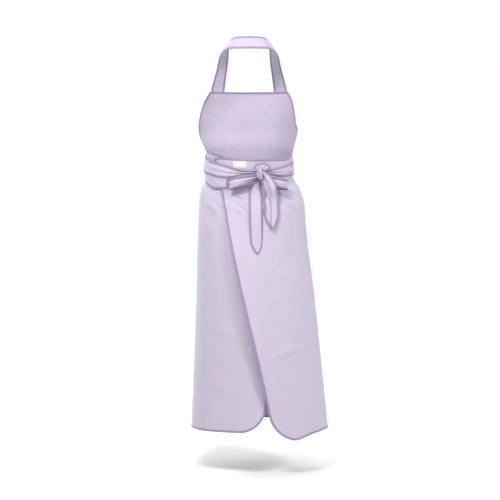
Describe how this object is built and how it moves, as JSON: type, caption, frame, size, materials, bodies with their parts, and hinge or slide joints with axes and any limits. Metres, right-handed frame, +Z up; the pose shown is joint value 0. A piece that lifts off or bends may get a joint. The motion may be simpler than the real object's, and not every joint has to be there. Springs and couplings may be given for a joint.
{
  "type": "wrap-around protective apron",
  "caption": "Long wrap-around protective apron with a bib, a neck band and a waist sash tied in a bow behind, all edges bound with darker tape.",
  "frame": {"origin": "centre of the wearer's waist, at the height of the knot in the sash", "axes": "+Z up, along the height of the apron; +Y out of the wearer's back, towards the bow; +X to the wearer's left"},
  "size_m": [0.4545, 0.3389, 1.3044],
  "materials": {
    "skirt_front_panel": "fine plain weave with a soft coated sheen",
    "front_hem_binding": "plain-woven bias tape, edge-stitched, slight sheen",
    "inner_wrap_panel": "fine plain weave with a soft coated sheen",
    "inner_wrap_binding": "plain-woven bias tape, edge-stitched, slight sheen",
    "inner_top_binding": "plain-woven bias tape, edge-stitched, slight sheen",
    "outer_wrap_panel": "fine plain weave with a soft coated sheen",
    "outer_hem_binding": "plain-woven bias tape, edge-stitched, slight sheen",
    "outer_edge_binding": "plain-woven bias tape, edge-stitched, slight sheen",
    "outer_top_binding": "plain-woven bias tape, edge-stitched, slight sheen",
    "inner_tie": "fine plain weave with a soft coated sheen",
    "inner_tie_upper_binding": "plain-woven bias tape, edge-stitched, slight sheen",
    "inner_tie_lower_binding": "plain-woven bias tape, edge-stitched, slight sheen",
    "outer_tie": "fine plain weave with a soft coated sheen",
    "outer_tie_upper_binding": "plain-woven bias tape, edge-stitched, slight sheen",
    "outer_tie_lower_binding": "plain-woven bias tape, edge-stitched, slight sheen",
    "outer_tie_end_binding": "plain-woven bias tape, edge-stitched, slight sheen",
    "bow_knot": "fine plain weave with a soft coated sheen",
    "woven_label": "smooth woven, matt",
    "outer_flap_panel": "fine plain weave with a soft coated sheen",
    "outer_flap_binding": "plain-woven bias tape, edge-stitched, slight sheen",
    "bib_panel": "fine plain weave with a soft coated sheen",
    "bib_top_binding": "plain-woven bias tape, edge-stitched, slight sheen",
    "armhole_binding_left": "plain-woven bias tape, edge-stitched, slight sheen",
    "armhole_binding_right": "plain-woven bias tape, edge-stitched, slight sheen",
    "neck_band": "fine plain weave with a soft coated sheen",
    "neck_band_upper_binding": "plain-woven bias tape, edge-stitched, slight sheen",
    "neck_band_lower_binding": "plain-woven bias tape, edge-stitched, slight sheen",
    "bow_loop_left": "fine plain weave with a soft coated sheen",
    "bow_loop_left_upper_binding": "plain-woven bias tape, edge-stitched, slight sheen",
    "bow_loop_left_lower_binding": "plain-woven bias tape, edge-stitched, slight sheen",
    "bow_loop_right": "fine plain weave with a soft coated sheen",
    "bow_loop_right_upper_binding": "plain-woven bias tape, edge-stitched, slight sheen",
    "bow_loop_right_lower_binding": "plain-woven bias tape, edge-stitched, slight sheen",
    "tail_long": "fine plain weave with a soft coated sheen",
    "tail_long_binding": "plain-woven bias tape, edge-stitched, slight sheen",
    "tail_short": "fine plain weave with a soft coated sheen",
    "tail_short_binding": "plain-woven bias tape, edge-stitched, slight sheen"
  },
  "bodies": {
    "skirt": {"skirt_front_panel": "skirt_front_panel", "front_hem_binding": "front_hem_binding", "inner_wrap_panel": "inner_wrap_panel", "inner_wrap_binding": "inner_wrap_binding", "inner_top_binding": "inner_top_binding", "outer_wrap_panel": "outer_wrap_panel", "outer_hem_binding": "outer_hem_binding", "outer_edge_binding": "outer_edge_binding", "outer_top_binding": "outer_top_binding", "inner_tie": "inner_tie", "inner_tie_upper_binding": "inner_tie_upper_binding", "inner_tie_lower_binding": "inner_tie_lower_binding", "outer_tie": "outer_tie", "outer_tie_upper_binding": "outer_tie_upper_binding", "outer_tie_lower_binding": "outer_tie_lower_binding", "outer_tie_end_binding": "outer_tie_end_binding", "bow_knot": "bow_knot", "woven_label": "woven_label"},
    "outer_flap": {"outer_flap_panel": "outer_flap_panel", "outer_flap_binding": "outer_flap_binding"},
    "bib": {"bib_panel": "bib_panel", "bib_top_binding": "bib_top_binding", "armhole_binding_left": "armhole_binding_left", "armhole_binding_right": "armhole_binding_right"},
    "neck_band": {"neck_band": "neck_band", "neck_band_upper_binding": "neck_band_upper_binding", "neck_band_lower_binding": "neck_band_lower_binding"},
    "bow_loop_left": {"bow_loop_left": "bow_loop_left", "bow_loop_left_upper_binding": "bow_loop_left_upper_binding", "bow_loop_left_lower_binding": "bow_loop_left_lower_binding"},
    "bow_loop_right": {"bow_loop_right": "bow_loop_right", "bow_loop_right_upper_binding": "bow_loop_right_upper_binding", "bow_loop_right_lower_binding": "bow_loop_right_lower_binding"},
    "tail_long": {"tail_long": "tail_long", "tail_long_binding": "tail_long_binding"},
    "tail_short": {"tail_short": "tail_short", "tail_short_binding": "tail_short_binding"}
  },
  "joints": [
    {"name": "bib_fold", "type": "hinge", "parent": "skirt", "child": "bib", "pos_m": [0, -0.126, 0.108], "axis": [1, 0, 0], "range_deg": [0, 120]},
    {"name": "neck_band_swing", "type": "hinge", "parent": "bib", "child": "neck_band", "pos_m": [0, -0.113, 0.2735], "axis": [1, 0, 0], "range_deg": [0, 80]},
    {"name": "outer_flap_open", "type": "hinge", "parent": "skirt", "child": "outer_flap", "pos_m": [0.0709, 0.15281, -0.1283], "axis": [0.3216, -0.0217, 0.9466], "range_deg": [0, 60]},
    {"name": "bow_loop_left_lift", "type": "hinge", "parent": "skirt", "child": "bow_loop_left", "pos_m": [-0.0005, 0.1195, -0.01], "axis": [0, -1, 0], "range_deg": [0, 45]},
    {"name": "bow_loop_right_lift", "type": "hinge", "parent": "skirt", "child": "bow_loop_right", "pos_m": [-0.0605, 0.1195, -0.01], "axis": [0, 1, 0], "range_deg": [0, 45]},
    {"name": "tail_long_swing", "type": "hinge", "parent": "skirt", "child": "tail_long", "pos_m": [-0.02, 0.119, -0.03], "axis": [1, 0, 0], "range_deg": [0, 60]},
    {"name": "tail_short_swing", "type": "hinge", "parent": "skirt", "child": "tail_short", "pos_m": [-0.06, 0.117, -0.014], "axis": [1, 0, 0], "range_deg": [0, 60]}
  ]
}
